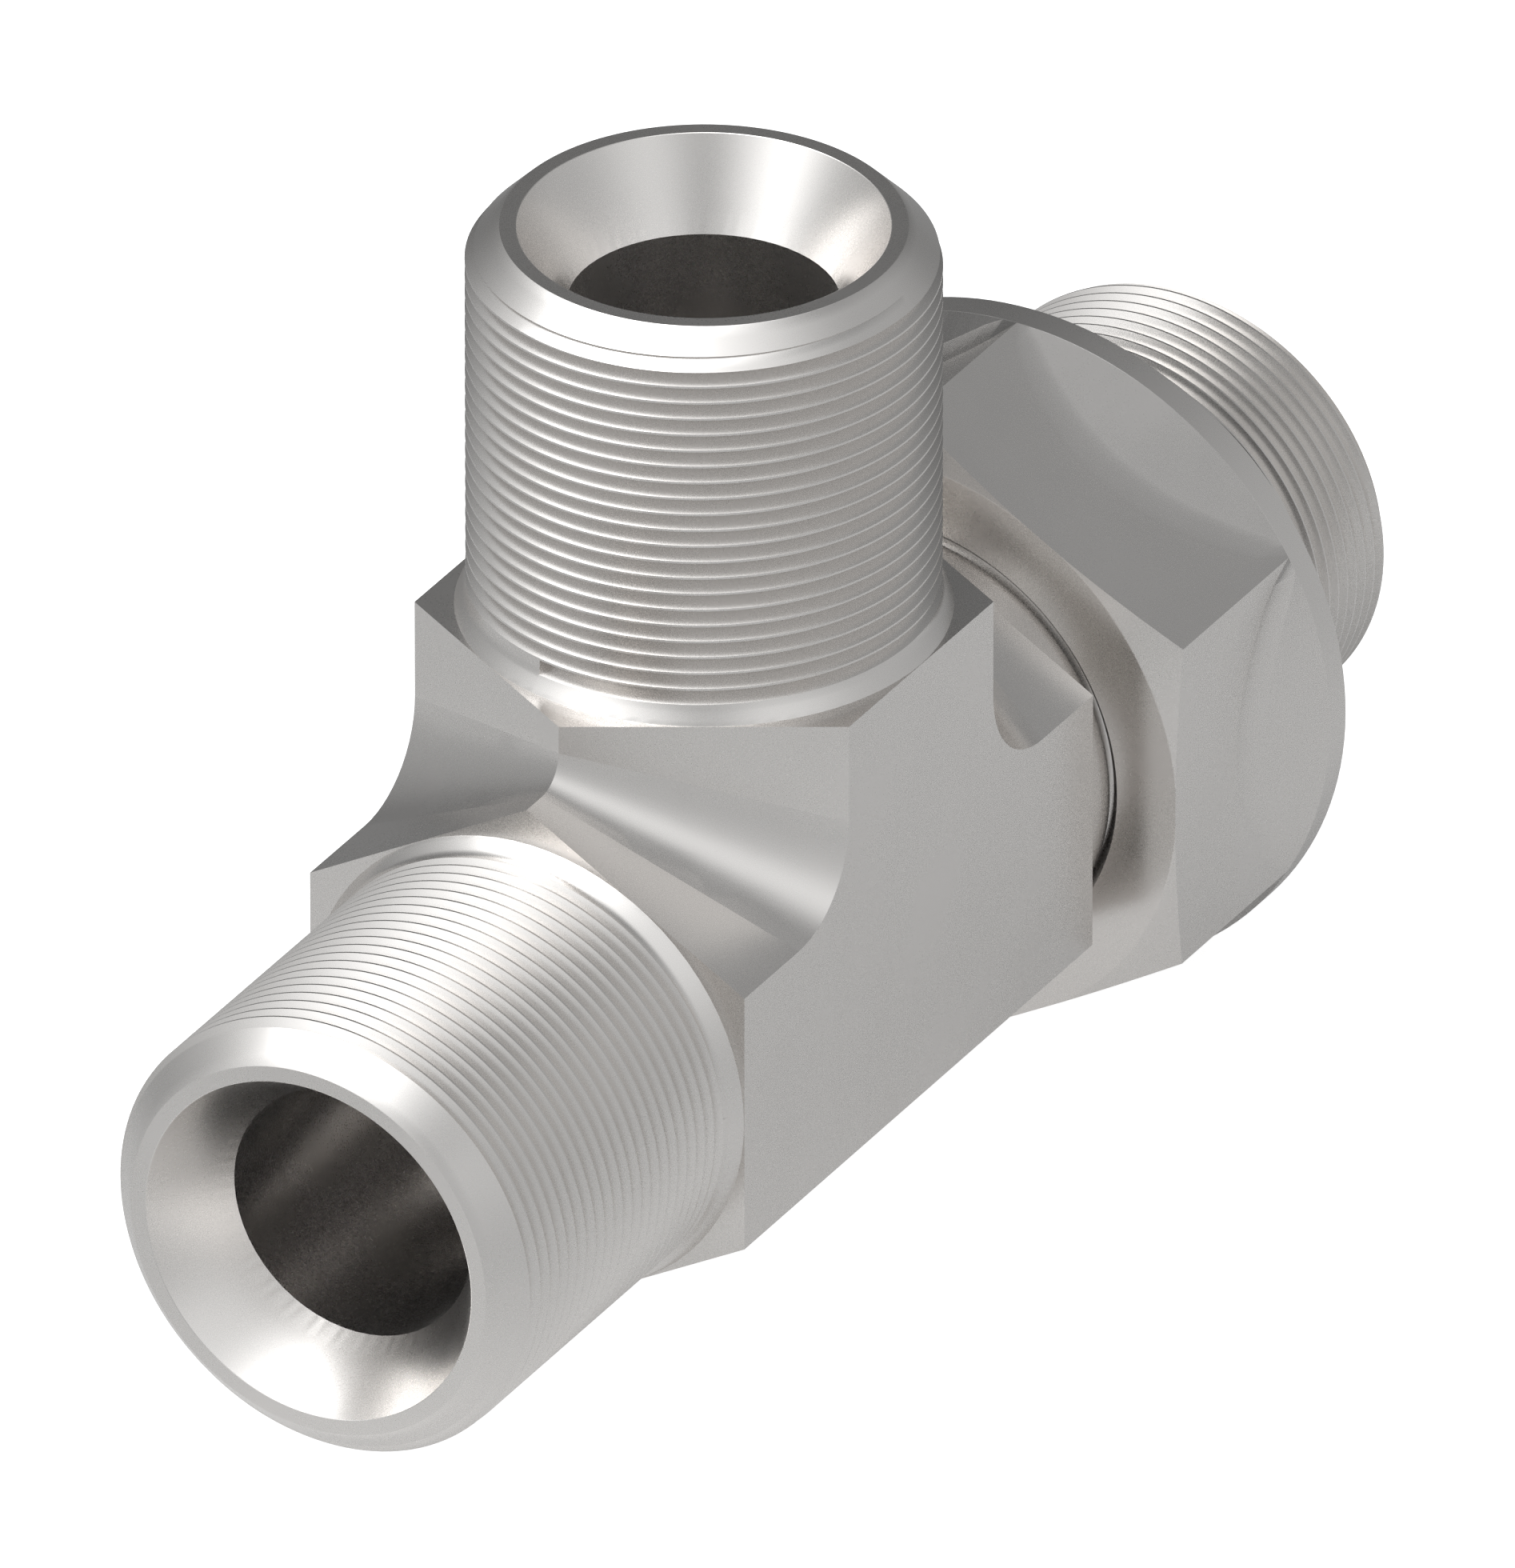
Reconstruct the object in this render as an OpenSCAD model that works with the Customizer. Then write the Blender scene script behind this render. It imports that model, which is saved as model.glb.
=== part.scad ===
// Run tee adapter for hydraulic lines: two male ends with 60 degree inner cones, one in line and
// one at the branch, and an adjustable threaded stud that its flanged lock nut clamps in a port.
// Millimetres. The origin is where the run axis (Y) and the branch axis (Z) cross.
// The stud points to +Y, the branch to +Z, and the block's wide flats face +X and -X.

/* [Block] */
// Across flats of both hexagons of the forged block
block_af = 22; // [21.5:0.5:26]
// From the branch axis to the block's front face
block_front = 15.5; // [14.5:0.1:19]
// From the branch axis to the block's rear face, at the stud
block_rear = 15.2; // [14.5:0.1:19]
// From the run axis to the block's top face
block_top = 15.5; // [14.5:0.1:19]
// Length that a valley fillet takes of each ridge, in the middle plane
valley_mid = 1.5; // [0.8:0.1:2]
// Length that a valley fillet takes of each edge, at the wide flats
valley_side = 4.4; // [3:0.1:5]

/* [Male ends] */
// Major diameter of all the outside threads (G 1/2 A)
thread_d = 20.955; // [18.6:0.005:21.8]
// Pitch of those threads (14 to the inch)
thread_pitch = 1.814; // [1.337:0.001:2.309]
// From the crossing of the axes to the end face of each male end
end_reach = 34.5; // [29:0.1:45]
// Depth of the 45 degree chamfer that leads onto each outside thread
lead_chamfer = 1.5; // [0.8:0.1:2]
// Width of the flat lip between the lead chamfer and the inner cone
lip_w = 0.75; // [0.4:0.05:1.2]
// Included angle of the inner cone that seats the mating nose
seat_angle = 60; // [45:1:74]
// Diameter of the flow passages
bore_d = 12; // [8:0.1:14.5]
// Height of the flare between a thread and the block's face
neck_flare = 0.9; // [0.4:0.1:1.2]
// Margin between the foot of that flare and the block's flats
flare_margin = 0.02; // [0.01:0.01:0.1]

/* [Stud] */
// Turns that the lock nut can make, from backed off to where the seal meets the stud's thread
nut_turns = 1; // [1:0.1:2]
// Depth of the 45 degree chamfer at the tip of the stud
tip_chamfer = 0.7; // [0.4:0.1:1.5]
// Chamfer at the mouth of the passage, in the tip
mouth_chamfer = 0.5; // [0.2:0.1:1]
// Depth of the undercut below the thread, on the radius
undercut_depth = 1.23; // [0.9:0.01:1.6]
// Length of the full thread beyond the undercut, without the tip's chamfer
stud_thread = 7.1; // [6:0.1:12]

/* [Lock nut] */
// Across flats of the nut
nut_af = 27.7; // [26.5:0.1:32]
// Gap between the block and the backed-off nut
nut_gap = 2.36; // [2:0.01:5]
// Length of the nut's hexagon, up to the flange
nut_hex = 10.04; // [8.5:0.01:14]
// Thickness of the flange's rim
flange_t = 1.44; // [1:0.01:3]
// Angle between the axis and the flare that runs from the flats out to the flange
flare_angle = 30.5; // [25:0.5:50]
// Radius of the hollow where the flats meet that flare
flare_r = 3.5; // [1:0.1:4]
// Diameter of the nut's flat front face, inside its chamfer
nut_face_d = 27.8; // [26.5:0.1:30]
// Angle of the chamfer across the nut's front corners
nut_chamfer = 17; // [10:1:30]
// Depth of the countersink at each end of the nut's thread
countersink = 0.35; // [0.2:0.05:0.8]

/* [Seal] */
// Cross-section of the O-ring
seal_t = 2.62; // [2:0.01:3]
// Thickness of the retaining ring's web, behind the seal
web_t = 1.2; // [0.8:0.1:2]
// How far the seal stands proud of the retaining ring
seal_proud = 0.64; // [0.3:0.01:1]
// Wall of the retaining ring, outside the seal
ring_wall = 1.4; // [1:0.1:2.5]
// Chamfer on the retaining ring's outer edges
ring_chamfer = 0.3; // [0.1:0.05:0.5]

/* [Fits] */
// Clearance on the radius between the nut and the stud's thread
thread_fit = 0.06; // [0.02:0.01:0.1]
// Clearance on the radius between the retaining ring and the undercut
ring_fit = 0.05; // [0.02:0.01:0.1]
// Clearance on the radius round the seal, inside and outside
seal_fit = 0.11; // [0.05:0.01:0.2]
// Gap between faces that turn on or rest against each other
face_gap = 0.05; // [0.02:0.01:0.1]

/* [Hidden] */
$fn = 96;

// Past a face, so that a cut leaves no skin
over = 1;
// Far enough to pass right through the part
far = 100;

thread_r = thread_d / 2;
bore_r = bore_d / 2;
seat_r = thread_r - lead_chamfer - lip_w;
seat_depth = (seat_r - bore_r) / tan(seat_angle / 2);
undercut_r = thread_r - undercut_depth;

// The flare is an arc that leaves the thread smoothly and ends just inside the block's flats, or
// as a quarter circle where they leave more room
flare_w = min(block_af / 2 - flare_margin - thread_r, neck_flare);
neck_r = (pow(neck_flare, 2) + pow(flare_w, 2)) / (2 * flare_w);

// Stations along the stud
nut_front = block_rear + nut_gap;
flange_front = nut_front + nut_hex;
nut_rear = flange_front + flange_t;
ring_front = nut_rear + face_gap;
ring_t = web_t + face_gap + seal_t - seal_proud;
seal_y = ring_front + web_t + face_gap + seal_t / 2;
undercut_front = nut_rear - countersink - face_gap;

// Radii of the seal and of the ring that holds it
seal_r = undercut_r + seal_fit + seal_t / 2;
recess_r = seal_r + seal_t / 2 + seal_fit;
ring_r = recess_r + ring_wall;

// The nut, the ring and the seal travel together, and the shoulder of the undercut, at 45 degrees,
// starts where the seal just clears it at the end of that travel
nut_travel = nut_turns * thread_pitch;
stud_shoulder = seal_y + nut_travel + thread_r - seal_r + sqrt(2) * (seal_t / 2 + face_gap);
stud_reach = stud_shoulder + stud_thread + tip_chamfer;

// The flange is as wide as the nut's corners
flange_r = nut_af / 2 / cos(30);

// Directions in the valley in front of the branch, on the +X side
up_run = [sin(30), 0, cos(30)];
out_branch = [sin(30), -cos(30), 0];
valley = unit(cross(up_run, out_branch));
up_branch = cross(out_branch, valley);
out_run = cross(valley, up_run);
// Where the valley's line starts, in the middle plane, on both ridges
ridge = block_af / 2 / cos(30);
valley_start = [0, -ridge, ridge];
// The fillet is a cone that touches both faces, so it grows from valley_mid to valley_side.
// Its lines of contact leave the valley's line at contact_angle, from the cone's tip.
edge_slant = norm([valley.x, valley.y]);
mid_offset = valley_mid * edge_slant;
side_offset = valley_side * edge_slant;
mid_station = -mid_offset * up_branch.x / valley.x;
side_station = (block_af / 2 - side_offset * up_branch.x) / valley.x;
contact_angle = atan((side_offset - mid_offset) / (side_station - mid_station));
cone_tip = valley_start + valley * (mid_station - mid_offset / tan(contact_angle));
touch_branch = valley * cos(contact_angle) + up_branch * sin(contact_angle);
touch_run = valley * cos(contact_angle) + out_run * sin(contact_angle);
// The plane through both lines of contact closes the fillet
closing = unit(cross(touch_run, touch_branch));
// The cone's axis lies in the plane halfway between the two faces
face_turn = acos(up_run * out_branch);
cone_ratio = tan(contact_angle) / tan(face_turn / 2);
cone_axis = valley + unit(up_run + out_branch) * cone_ratio / cos(face_turn / 2);
cone_half = asin(cone_ratio / norm(cone_axis));
// Keeps the fillet's feather edges thick enough to build
feather = 0.02;
// How far the fill goes on inside the block, past the foot of its fillet
fill_past = 0.5;

function unit(v) = v / norm(v);

// Turns what stands along +Z so that it stands along v
module along(v) {
    rotate([0, acos(v.z / norm(v)), atan2(v.y, v.x)]) children();
}

// Turns what stands along +Z so that it stands along the stud, +Y
module along_run() {
    rotate([-90, 0, 0]) children();
}

// Hexagonal bar from z = 0, with flats that face +X and -X
module hex_bar(af, h) {
    rotate([0, 0, 30]) cylinder(d = af / cos(30), h = h, $fn = 6);
}

// Fills one valley beside the branch, from the middle plane to the +X flat, where the run's bar
// goes on to y = -reach
module valley_fill(reach) {
    foot = ridge + valley_mid + fill_past;
    depth = min(foot, reach);
    difference() {
        translate([0, -depth, 0]) cube([block_af / 2, depth, min(foot, block_top)]);
        translate(cone_tip - closing * feather) along(closing)
            translate([-far, -far, 0]) cube([2 * far, 2 * far, far]);
        translate(cone_tip) along(cone_axis) cylinder(h = far, r1 = 0, r2 = far * tan(cone_half));
    }
}

// Both valleys on one side of the branch
module valley_pair(reach) {
    valley_fill(reach);
    mirror([1, 0, 0]) valley_fill(reach);
}

// Two crossing hexagonal bars with filleted valleys
module block() {
    translate([0, -block_front, 0]) along_run() hex_bar(block_af, block_front + block_rear);
    hex_bar(block_af, block_top);
    valley_pair(block_front);
    mirror([0, 1, 0]) valley_pair(block_rear);
}

// Profile of a male end that points along +y, with the flare that stands on the block at y = face
module male_profile(face) {
    difference() {
        polygon([
            [0, 0],
            [thread_r, 0],
            [thread_r, face - over],
            [thread_r + flare_w, face - over],
            [thread_r + flare_w, face + neck_flare],
            [thread_r, face + neck_flare],
            [thread_r, end_reach - lead_chamfer],
            [thread_r - lead_chamfer, end_reach],
            [0, end_reach]
        ]);
        translate([thread_r + neck_r, face + neck_flare]) circle(r = neck_r);
    }
}

// Profile of the stud: the nut's thread, the seal's undercut and the thread that enters the port
module stud_profile() {
    polygon([
        [0, 0],
        [thread_r, 0],
        [thread_r, undercut_front - undercut_depth],
        [undercut_r, undercut_front],
        [undercut_r, stud_shoulder - undercut_depth],
        [thread_r, stud_shoulder],
        [thread_r, stud_reach - tip_chamfer],
        [thread_r - tip_chamfer, stud_reach],
        [0, stud_reach]
    ]);
}

// Profile of a male end's passage, with its conical seat
module male_passage() {
    polygon([
        [0, 0],
        [bore_r, 0],
        [bore_r, end_reach - seat_depth],
        [seat_r, end_reach],
        [seat_r, end_reach + over],
        [0, end_reach + over]
    ]);
}

// Profile of the stud's passage
module stud_passage() {
    polygon([
        [0, 0],
        [bore_r, 0],
        [bore_r, stud_reach - mouth_chamfer],
        [bore_r + mouth_chamfer + over, stud_reach + over],
        [0, stud_reach + over]
    ]);
}

// The forging, with both male ends and the stud machined on it
module tee_body() {
    color("silver") difference() {
        union() {
            block();
            rotate_extrude() male_profile(block_top);
            along_run() rotate_extrude() {
                mirror([0, 1]) male_profile(block_front);
                stud_profile();
            }
        }
        rotate_extrude() male_passage();
        along_run() rotate_extrude() {
            mirror([0, 1]) male_passage();
            stud_passage();
        }
    }
}

// Profile of the flange and of the flare that leads to it from the flats, z along the nut. The
// circle bites a hair into both lines that it blends, so that it crosses them and leaves no sliver
module flange_profile() {
    bite = 0.02;
    flat_r = nut_af / 2;
    flare_l = (flange_r - flat_r) / tan(flare_angle);
    hollow = flare_r * tan(flare_angle / 2);
    foot = nut_hex - flare_l;
    difference() {
        polygon([
            [0, foot - hollow],
            [flat_r, foot - hollow],
            [flat_r + hollow * sin(flare_angle), foot + hollow * cos(flare_angle)],
            [flange_r, nut_hex],
            [flange_r, nut_hex + flange_t],
            [0, nut_hex + flange_t]
        ]);
        translate([flat_r + flare_r, foot - hollow]) circle(r = flare_r + bite);
    }
}

// Flanged hexagon nut that runs on the stud's inner thread
module lock_nut() {
    hole_r = thread_r + thread_fit;
    mouth_r = hole_r + countersink + over;
    nut_t = nut_hex + flange_t;
    color("gainsboro") translate([0, nut_front, 0]) along_run() difference() {
        union() {
            intersection() {
                hex_bar(nut_af, nut_t);
                // The cone across the front corners
                cylinder(h = nut_t, r1 = nut_face_d / 2, r2 = nut_face_d / 2 + nut_t / tan(nut_chamfer));
            }
            rotate_extrude() flange_profile();
        }
        translate([0, 0, -over]) cylinder(r = hole_r, h = nut_t + 2 * over);
        translate([0, 0, -over]) cylinder(h = over + countersink, r1 = mouth_r, r2 = hole_r);
        translate([0, 0, nut_t - countersink]) cylinder(h = over + countersink, r1 = hole_r, r2 = mouth_r);
    }
}

// Metal ring that backs the seal and seats on the port's face
module retaining_ring() {
    color("darkgray") translate([0, ring_front, 0]) along_run() rotate_extrude() polygon([
        [undercut_r + ring_fit, 0],
        [ring_r - ring_chamfer, 0],
        [ring_r, ring_chamfer],
        [ring_r, ring_t - ring_chamfer],
        [ring_r - ring_chamfer, ring_t],
        [recess_r, ring_t],
        [recess_r, web_t],
        [undercut_r + ring_fit, web_t]
    ]);
}

// Rubber seal in the retaining ring's recess
module o_ring() {
    color([0.1, 0.1, 0.1]) translate([0, seal_y, 0]) along_run()
        rotate_extrude() translate([seal_r, 0]) circle(d = seal_t);
}

tee_body();
lock_nut();
retaining_ring();
o_ring();
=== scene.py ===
"""Looks of the tee adapter: plated steel forging with cut threads, lock nut, retaining ring, seal.

Run as a script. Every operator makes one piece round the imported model, and the last one makes the
stage. Lengths in this file are millimetres, and become metres where a mesh is made.
"""

import math

import bpy
import numpy as np
from bpy.props import FloatProperty, FloatVectorProperty, IntProperty, PointerProperty
from mathutils import Matrix, Vector


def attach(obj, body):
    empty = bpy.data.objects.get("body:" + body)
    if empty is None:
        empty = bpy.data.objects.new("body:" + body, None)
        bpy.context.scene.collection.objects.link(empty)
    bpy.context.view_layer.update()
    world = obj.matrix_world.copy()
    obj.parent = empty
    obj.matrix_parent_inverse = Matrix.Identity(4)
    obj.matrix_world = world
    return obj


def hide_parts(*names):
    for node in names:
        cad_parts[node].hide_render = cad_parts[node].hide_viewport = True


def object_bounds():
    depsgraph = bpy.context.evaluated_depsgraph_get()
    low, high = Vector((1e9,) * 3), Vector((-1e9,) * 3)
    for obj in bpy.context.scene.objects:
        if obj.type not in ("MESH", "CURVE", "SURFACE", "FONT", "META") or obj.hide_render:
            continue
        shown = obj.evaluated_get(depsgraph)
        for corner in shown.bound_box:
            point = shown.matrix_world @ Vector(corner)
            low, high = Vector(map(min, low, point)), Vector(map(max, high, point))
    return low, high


bl_info = {
    "name": "Tee adapter looks",
    "version": (1, 0, 0),
    "blender": (4, 5, 0),
    "location": "3D View > Sidebar > Tee adapter",
    "description": "Cuts the threads of a hydraulic tee adapter and finishes its plated steel",
    "category": "Object",
}

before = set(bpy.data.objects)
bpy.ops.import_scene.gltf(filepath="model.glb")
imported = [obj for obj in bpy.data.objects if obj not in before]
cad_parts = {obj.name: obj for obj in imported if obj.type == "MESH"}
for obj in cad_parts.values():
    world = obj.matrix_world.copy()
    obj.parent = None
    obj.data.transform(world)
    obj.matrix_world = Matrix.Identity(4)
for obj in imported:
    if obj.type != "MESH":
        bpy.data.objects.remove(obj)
CAD_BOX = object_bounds()

MM = 0.001

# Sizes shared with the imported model: the block
BLOCK_AF = 22.0
BLOCK_FACE = 15.5
BLOCK_REAR = 15.2

# Male ends: outside thread, chamfer, lip and 60 degree inner cone, and the neck at their foot
END_REACH = CAD_BOX[1][2] / MM
THREAD_R = 10.4775
LEAD_CHAMFER = 1.5
LIP_WIDTH = 0.75
BORE_R = 6.0
SEAT_R = THREAD_R - LEAD_CHAMFER - LIP_WIDTH
SEAT_END = END_REACH - (SEAT_R - BORE_R) * math.sqrt(3)
NECK_FLARE = 0.9
NECK_MARGIN = 0.02
NECK_WIDTH = BLOCK_AF / 2 - NECK_MARGIN - THREAD_R
# Depth over which the neck's cone starts softly
NECK_SOFT = 0.15

# Stud: undercut, shoulder, outer thread and tip
STUD_REACH = CAD_BOX[1][1] / MM
TIP_CHAMFER = 0.7
MOUTH_CHAMFER = 0.5
STUD_THREAD = 7.1
SHOULDER = STUD_REACH - TIP_CHAMFER - STUD_THREAD
UNDERCUT_DEPTH = 1.23
UNDERCUT_R = THREAD_R - UNDERCUT_DEPTH

# Clearances: between faces, and on the radius at the nut's thread, the ring and the seal
FACE_GAP = 0.05
THREAD_FIT = 0.06
RING_FIT = 0.05
SEAL_FIT = 0.11

# Lock nut
NUT_GAP = 2.36
NUT_FRONT = BLOCK_REAR + NUT_GAP
NUT_AF = 27.7
NUT_HEX = 10.04
FLANGE_T = 1.44
NUT_T = NUT_HEX + FLANGE_T
NUT_FACE_R = 13.9
NUT_CHAMFER = 17.0
NUT_HOLE_R = THREAD_R + THREAD_FIT
COUNTERSINK = 0.35
UNDERCUT_FRONT = NUT_FRONT + NUT_T - COUNTERSINK - FACE_GAP
FLARE_ANGLE = 30.5
FLARE_R = 3.5
# How far the nut's edges are broken, how near its crisp creases the shading turns, and how far
# ahead of the hollow it starts to
RIM_BREAK = 0.04
SHARP_EDGE = 0.04
SOFT_START = 0.5
# Lean, in degrees, that the nut's flare is shaded with, and the height over its flat at which it
# is reached
FLARE_SHADE = 15.0
FLARE_FADE = 0.3

# Retaining ring and seal
SEAL_T = 2.62
SEAL_PROUD = 0.64
SEAL_R = UNDERCUT_R + SEAL_FIT + SEAL_T / 2
RING_FRONT = NUT_FRONT + NUT_T + FACE_GAP
RING_WEB = 1.2
RING_WALL = 1.4
RING_CHAMFER = 0.3
RING_T = RING_WEB + FACE_GAP + SEAL_T - SEAL_PROUD
RING_BORE_R = UNDERCUT_R + RING_FIT
RING_RECESS_R = SEAL_R + SEAL_T / 2 + SEAL_FIT
RING_R = RING_RECESS_R + RING_WALL
SEAL_Y = RING_FRONT + RING_WEB + FACE_GAP + SEAL_T / 2

# Half the width of a crisp edge's break, and the break of an inside corner
EDGE = 0.02
CORNER = 0.05
# What still counts as the same place, and as the same height over a flat
SAME_PLACE = 0.01
SAME_HEIGHT = 0.0005

# Directions across and along each turned end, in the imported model's frame
BRANCH = np.array([[1, 0, 0], [0, 1, 0], [0, 0, 1]], float)
FRONT = np.array([[1, 0, 0], [0, 0, 1], [0, -1, 0]], float)
STUD = np.array([[1, 0, 0], [0, 0, -1], [0, 1, 0]], float)

# Where each thread's cut starts, in degrees round its axis
BRANCH_START = -103.3
FRONT_START = -103.3
STUD_START = 40.0
BOSS_START = 150.0
# Degrees between the two close columns where a cut starts, and degrees kept free round them
PAIR_STEP = 0.05
PAIR_ROOM = 0.4
# How far past a male end's neck, and past the block at the stud, the root of the cut starts
NECK_TO_CUT = 0.17
BOSS_TO_CUT = 2.32
# Stations of the rows of points before the cut, on a male end's neck and on the stud's boss
NECK_ROWS = BLOCK_FACE + np.array([0.04, 0.2, 0.4, 0.52, 0.62])
BOSS_ROWS = BLOCK_REAR + np.array([0.06, 0.9, 1.55])
# How far up a 45 degree slope the cut has run out: lead chamfer, undercut and tip
LEAD_RUN_OUT = 0.72
UNDERCUT_RUN_OUT = 0.75
TIP_RUN_OUT = 0.66

# Blotches to the metre in the plating's grain, clouds and flecks, and in the rubber's skin
STEEL_GRAIN, STEEL_CLOUD, STEEL_FLECK = 11000, 160, 1500
RUBBER_GRAIN, RUBBER_BLOOM = 6000, 300
# Distance between two turning marks, and their height as a share of the grain's
MARK_PITCH = 0.11
MARK_HEIGHT = 0.12
# Strength of each finish's bumps
STEEL_BUMP, RUBBER_BUMP = 0.14, 0.4

# The floor's half side and grey, and how much it glows to the camera and, under the part, to metal
FLOOR_HALF = 600.0
FLOOR_GREY = 0.52
CAMERA_GLOW = 0.85
METAL_GLOW = 0.42
# Distance over which the floor fades from the metal's reflections
FLOOR_FADE = 75.0
# Half width of the strip under the part where it glows in them, and its length over its width
FLOOR_GLOW = 15.0
GLOW_LENGTH = 2.5
# Room seen by the part: a level, its least value, its tint to the metal, and round patches of
# (azimuth from +Y towards +X, elevation, sharpness, strength)
ROOM_LEVEL = 0.5
ROOM_LEAST = 0.05
ROOM_TINT = (0.985, 0.995, 1.0)
ROOM = [
    (-145, 66, 7.0, 2.0),
    (-155, 22, 20.0, 0.75),
    (112, 40, 9.0, 0.38),
    (150, 38, 25.0, -0.4),
    (-45, 0, 3.0, -0.33),
    (-15, 34, 9.0, -0.26),
    (54, 63, 15.0, -0.38),
    (10, 8, 14.0, -0.1),
    (-22, 78, 30.0, 1.0),
]

# The key light's direction (azimuth and elevation), its distance and its size in metres
KEY_AZIMUTH, KEY_ELEVATION = -138, 58
KEY_DISTANCE, KEY_WIDTH, KEY_HEIGHT = 0.9, 0.75, 0.6

# The photograph's direction of view, and the middle (to the right and up) and width of its frame
VIEW_BACK = Vector((0.4330, -0.75, 0.5))
VIEW_UP = Vector((-0.25, 0.4330, 0.8660))
VIEW_RIGHT = Vector((0.8660, 0.5, 0.0))
VIEW_MIDDLE = (2.384, 5.415)
FRAME_WIDTH = 68.97
SENSOR = 36


class ThreadSizes(bpy.types.PropertyGroup):
    """Form of the outside threads' cut."""
    pitch: FloatProperty(name="Pitch", description="Distance between two turns of the cut",
                         default=0.8 * MM, min=0.4 * MM, max=2.4 * MM, unit="LENGTH")
    crest: FloatProperty(name="Crest", description="Width of the flat land between two turns",
                         default=0.1 * MM, min=0.02 * MM, max=0.5 * MM, unit="LENGTH")
    flank: FloatProperty(name="Flank angle", description="Angle between the two flanks of the cut",
                         default=math.radians(60), min=math.radians(40), max=math.radians(90),
                         subtype="ANGLE")
    columns: IntProperty(name="Columns", description="Facets round each turned end",
                         default=144, min=48, max=240)


class FinishColours(bpy.types.PropertyGroup):
    """Colours and texture of the finishes."""
    steel: FloatVectorProperty(name="Plated steel", description="Colour of the plating",
                               default=(0.805, 0.782, 0.762), min=0, max=1,
                               size=3, subtype="COLOR")
    steel_roughness: FloatProperty(name="Steel roughness", description="Mean roughness of the plating",
                                   default=0.27, min=0.05, max=1)
    grain: FloatProperty(name="Grain height", description="Height of the plating's grain",
                         default=0.002 * MM, min=0, max=0.05 * MM, unit="LENGTH")
    rubber: FloatVectorProperty(name="Rubber", description="Colour of the seal",
                                default=(0.02, 0.02, 0.021), min=0, max=1,
                                size=3, subtype="COLOR")


class StageLook(bpy.types.PropertyGroup):
    """Floor and light round the part."""
    floor_drop: FloatProperty(name="Floor drop", description="From the run axis down to the floor",
                              default=16.05 * MM, min=16 * MM, max=60 * MM, unit="LENGTH")
    key_strength: FloatProperty(name="Key light", description="Brightness of the large soft light",
                                default=1.85, min=0, max=10)
    lens: FloatProperty(name="Lens", description="Focal length, long enough to look parallel",
                        default=1580, min=200, max=1590)


class Surface:
    """Points and triangles of one piece, gathered before they become a mesh."""

    def __init__(self):
        self.points, self.faces, self.count = [], [], 0

    def add(self, points):
        """Takes an array of points (..., 3) and returns their numbers in the same layout."""
        number = np.arange(self.count, self.count + points[..., 0].size).reshape(points.shape[:-1])
        self.points.append(points.reshape(-1, 3))
        self.count += number.size
        return number

    def triangles(self, corners):
        """Takes an array (..., 3) of the numbers of three points each."""
        self.faces.append(np.asarray(corners).reshape(-1, 3))

    def sheet(self, grid, after):
        """Two triangles for each cell between grid (rows, columns) and after, the points that
        follow its own round the axis."""
        a, b, c, d = grid[:-1], after[:-1], after[1:], grid[1:]
        self.triangles(np.stack([a, b, c, a, c, d], -1))

    def rings(self, grid):
        """A sheet that closes round the axis."""
        self.sheet(grid, np.roll(grid, -1, 1))

    def strip(self, low, low_angle, high, high_angle):
        """Joins two closed loops that run the same way round: the edges of both are taken in the
        order of their middle angles, and each makes a triangle with the other's point reached."""
        sides = []
        for loop, angle in ((low, low_angle), (high, high_angle)):
            after = np.append(angle[1:], angle[0] + 360)
            sides.append((loop, np.roll(loop, -1), (angle + after) / 2))
        middle = np.concatenate([sides[0][2], sides[1][2]])
        is_high = np.concatenate([np.zeros(len(low), bool), np.ones(len(high), bool)])
        order = np.argsort(middle, kind="stable")
        is_high = is_high[order]
        done_high = np.cumsum(is_high) - is_high
        done_low = np.cumsum(~is_high) - ~is_high
        at_low, at_high = done_low % len(low), done_high % len(high)
        self.triangles(np.stack([low[at_low], sides[0][1][at_low], high[at_high]], -1)[~is_high])
        self.triangles(np.stack([high[at_high], low[at_low], sides[1][1][at_high]], -1)[is_high])

    def build(self, name, crease=25):
        """The finished object: points that agree to a ten-thousandth of a millimetre become one,
        triangles that lose a corner that way go, and edges over crease degrees stay sharp."""
        points, faces = np.concatenate(self.points), np.concatenate(self.faces)
        _, first, where = np.unique(np.round(points * 1e4).astype(np.int64), axis=0,
                                    return_index=True, return_inverse=True)
        faces = where.reshape(-1)[faces]
        a, b, c = faces.T
        faces = faces[(a != b) & (b != c) & (c != a)]
        used, faces = np.unique(faces, return_inverse=True)
        faces = faces.reshape(-1, 3)
        points = points[first[used]] * MM
        mesh = bpy.data.meshes.new(name)
        mesh.vertices.add(len(points))
        mesh.vertices.foreach_set("co", points.astype(np.float32).ravel())
        mesh.loops.add(faces.size)
        mesh.loops.foreach_set("vertex_index", faces.astype(np.int32).ravel())
        mesh.polygons.add(len(faces))
        starts = np.arange(0, faces.size, 3, dtype=np.int32)
        mesh.polygons.foreach_set("loop_start", starts)
        mesh.update(calc_edges=True)
        mesh.polygons.foreach_set("use_smooth", np.ones(len(faces), bool))
        mesh.set_sharp_from_angle(angle=math.radians(crease))
        obj = bpy.data.objects.new(name, mesh)
        bpy.context.scene.collection.objects.link(obj)
        return obj


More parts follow.
